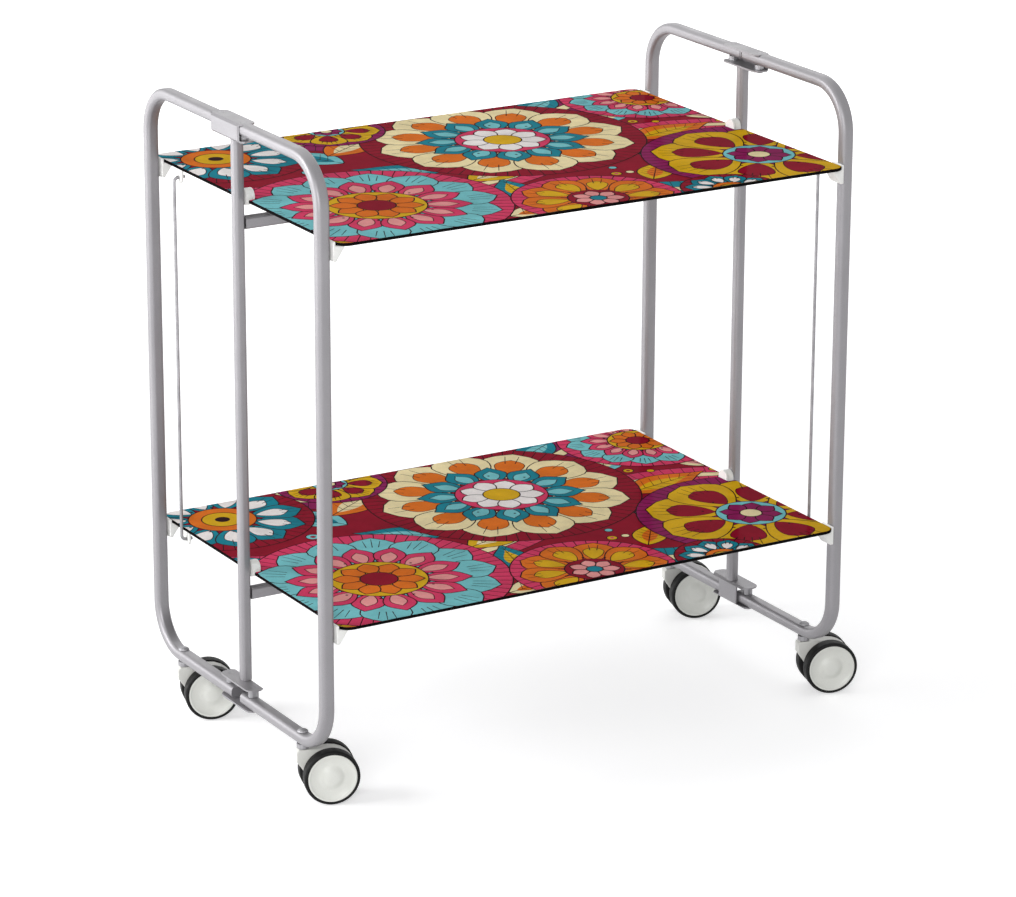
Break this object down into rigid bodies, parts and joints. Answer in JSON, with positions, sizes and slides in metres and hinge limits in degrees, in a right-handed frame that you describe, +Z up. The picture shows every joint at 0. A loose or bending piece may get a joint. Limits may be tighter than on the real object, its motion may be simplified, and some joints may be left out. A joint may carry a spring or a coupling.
{
  "type": "folding serving trolley",
  "caption": "Folding serving trolley with hinged tubular end frames, tipping printed trays linked by upright rods, and twin-wheel swivel castors",
  "frame": {"origin": "on the floor, under the centre of the bounding box", "axes": "X along the trays, Y across them with the front at -Y, Z up"},
  "size_m": [0.7166, 0.4268, 0.72],
  "materials": {
    "grey_lacquer": "satin grey lacquer on steel tube and sheet",
    "zinc_steel": "zinc-plated steel",
    "white_plastic": "white moulded plastic",
    "printed_laminate": "glossy printed laminate with a dark edge",
    "castor_wheel": "black tread with a pale dished cap"
  },
  "bodies": {
    "frame": {"left_post": "grey_lacquer", "left_top_hinge_channel": "grey_lacquer", "left_bottom_hinge_channel": "grey_lacquer", "left_front_half_hoop": "grey_lacquer", "left_front_top_hinge_pin": "zinc_steel", "left_front_bottom_hinge_pin": "zinc_steel", "left_front_castor_stem": "zinc_steel", "left_rear_half_hoop": "grey_lacquer", "left_rear_top_hinge_pin": "zinc_steel", "left_rear_bottom_hinge_pin": "zinc_steel", "left_rear_castor_stem": "zinc_steel", "right_post": "grey_lacquer", "right_top_hinge_channel": "grey_lacquer", "right_bottom_hinge_channel": "grey_lacquer", "right_front_half_hoop": "grey_lacquer", "right_front_top_hinge_pin": "zinc_steel", "right_front_bottom_hinge_pin": "zinc_steel", "right_front_castor_stem": "zinc_steel", "right_rear_half_hoop": "grey_lacquer", "right_rear_top_hinge_pin": "zinc_steel", "right_rear_bottom_hinge_pin": "zinc_steel", "right_rear_castor_stem": "zinc_steel", "upper_crossbar": "grey_lacquer", "upper_left_pivot_block": "white_plastic", "upper_right_pivot_block": "white_plastic", "lower_crossbar": "grey_lacquer", "lower_left_pivot_block": "white_plastic", "lower_right_pivot_block": "white_plastic"},
    "upper_tray_body": {"upper_tray": "printed_laminate", "upper_left_tray_hinge": "white_plastic", "upper_left_link_bracket": "white_plastic", "upper_left_front_corner_support": "white_plastic", "upper_left_rear_corner_support": "white_plastic", "upper_right_tray_hinge": "white_plastic", "upper_right_link_bracket": "white_plastic", "upper_right_front_corner_support": "white_plastic", "upper_right_rear_corner_support": "white_plastic"},
    "lower_tray_body": {"lower_tray": "printed_laminate", "lower_left_tray_hinge": "white_plastic", "lower_left_link_bracket": "white_plastic", "lower_left_front_corner_support": "white_plastic", "lower_left_rear_corner_support": "white_plastic", "lower_right_tray_hinge": "white_plastic", "lower_right_link_bracket": "white_plastic", "lower_right_front_corner_support": "white_plastic", "lower_right_rear_corner_support": "white_plastic"},
    "left_rod_body": {"left_link_rod": "zinc_steel"},
    "right_rod_body": {"right_link_rod": "zinc_steel"},
    "left_front_castor": {"left_front_castor_hood": "white_plastic"},
    "left_front_near_wheel": {"left_front_castor_near_wheel": "castor_wheel"},
    "left_front_far_wheel": {"left_front_castor_far_wheel": "castor_wheel"},
    "left_rear_castor": {"left_rear_castor_hood": "white_plastic"},
    "left_rear_near_wheel": {"left_rear_castor_near_wheel": "castor_wheel"},
    "left_rear_far_wheel": {"left_rear_castor_far_wheel": "castor_wheel"},
    "right_front_castor": {"right_front_castor_hood": "white_plastic"},
    "right_front_near_wheel": {"right_front_castor_near_wheel": "castor_wheel"},
    "right_front_far_wheel": {"right_front_castor_far_wheel": "castor_wheel"},
    "right_rear_castor": {"right_rear_castor_hood": "white_plastic"},
    "right_rear_near_wheel": {"right_rear_castor_near_wheel": "castor_wheel"},
    "right_rear_far_wheel": {"right_rear_castor_far_wheel": "castor_wheel"}
  },
  "joints": [
    {"name": "upper_tray_tilt", "type": "hinge", "parent": "frame", "child": "upper_tray_body", "pos_m": [-0.02586, 0, 0.6331], "axis": [1, 0, 0], "range_deg": [0, 30]},
    {"name": "lower_tray_tilt", "type": "hinge", "parent": "frame", "child": "lower_tray_body", "pos_m": [-0.02586, 0, 0.2179], "axis": [1, 0, 0], "range_deg": [0, 30]},
    {"name": "left_rod_pivot", "type": "hinge", "parent": "upper_tray_body", "child": "left_rod_body", "pos_m": [-0.34076, 0.156, 0.6184], "axis": [1, 0, 0], "range_deg": [-30, 0]},
    {"name": "right_rod_pivot", "type": "hinge", "parent": "upper_tray_body", "child": "right_rod_body", "pos_m": [0.28904, -0.156, 0.6184], "axis": [1, 0, 0], "range_deg": [-30, 0]},
    {"name": "left_front_castor_swivel", "type": "hinge", "parent": "frame", "child": "left_front_castor", "pos_m": [-0.34846, -0.1409, 0.0727], "axis": [0, 0, 1], "continuous": true},
    {"name": "left_front_near_wheel_spin", "type": "hinge", "parent": "left_front_castor", "child": "left_front_near_wheel", "pos_m": [-0.32168, -0.14909, 0.03054], "axis": [0.2924, 0.9563, 0], "continuous": true},
    {"name": "left_front_far_wheel_spin", "type": "hinge", "parent": "left_front_castor", "child": "left_front_far_wheel", "pos_m": [-0.32168, -0.14909, 0.03054], "axis": [0.2924, 0.9563, 0], "continuous": true},
    {"name": "left_rear_castor_swivel", "type": "hinge", "parent": "frame", "child": "left_rear_castor", "pos_m": [-0.34846, 0.1409, 0.0727], "axis": [0, 0, 1], "continuous": true},
    {"name": "left_rear_near_wheel_spin", "type": "hinge", "parent": "left_rear_castor", "child": "left_rear_near_wheel", "pos_m": [-0.32168, 0.13271, 0.03054], "axis": [0.2924, 0.9563, 0], "continuous": true},
    {"name": "left_rear_far_wheel_spin", "type": "hinge", "parent": "left_rear_castor", "child": "left_rear_far_wheel", "pos_m": [-0.32168, 0.13271, 0.03054], "axis": [0.2924, 0.9563, 0], "continuous": true},
    {"name": "right_front_castor_swivel", "type": "hinge", "parent": "frame", "child": "right_front_castor", "pos_m": [0.29674, -0.1409, 0.0727], "axis": [0, 0, 1], "continuous": true},
    {"name": "right_front_near_wheel_spin", "type": "hinge", "parent": "right_front_castor", "child": "right_front_near_wheel", "pos_m": [0.32352, -0.14909, 0.03054], "axis": [0.2924, 0.9563, 0], "continuous": true},
    {"name": "right_front_far_wheel_spin", "type": "hinge", "parent": "right_front_castor", "child": "right_front_far_wheel", "pos_m": [0.32352, -0.14909, 0.03054], "axis": [0.2924, 0.9563, 0], "continuous": true},
    {"name": "right_rear_castor_swivel", "type": "hinge", "parent": "frame", "child": "right_rear_castor", "pos_m": [0.29674, 0.1409, 0.0727], "axis": [0, 0, 1], "continuous": true},
    {"name": "right_rear_near_wheel_spin", "type": "hinge", "parent": "right_rear_castor", "child": "right_rear_near_wheel", "pos_m": [0.32352, 0.13271, 0.03054], "axis": [0.2924, 0.9563, 0], "continuous": true},
    {"name": "right_rear_far_wheel_spin", "type": "hinge", "parent": "right_rear_castor", "child": "right_rear_far_wheel", "pos_m": [0.32352, 0.13271, 0.03054], "axis": [0.2924, 0.9563, 0], "continuous": true}
  ],
  "couplings": [
    {"joint": "lower_tray_tilt", "follows": "upper_tray_tilt", "ratio": 1},
    {"joint": "left_rod_pivot", "follows": "upper_tray_tilt", "ratio": -1},
    {"joint": "right_rod_pivot", "follows": "upper_tray_tilt", "ratio": -1}
  ]
}
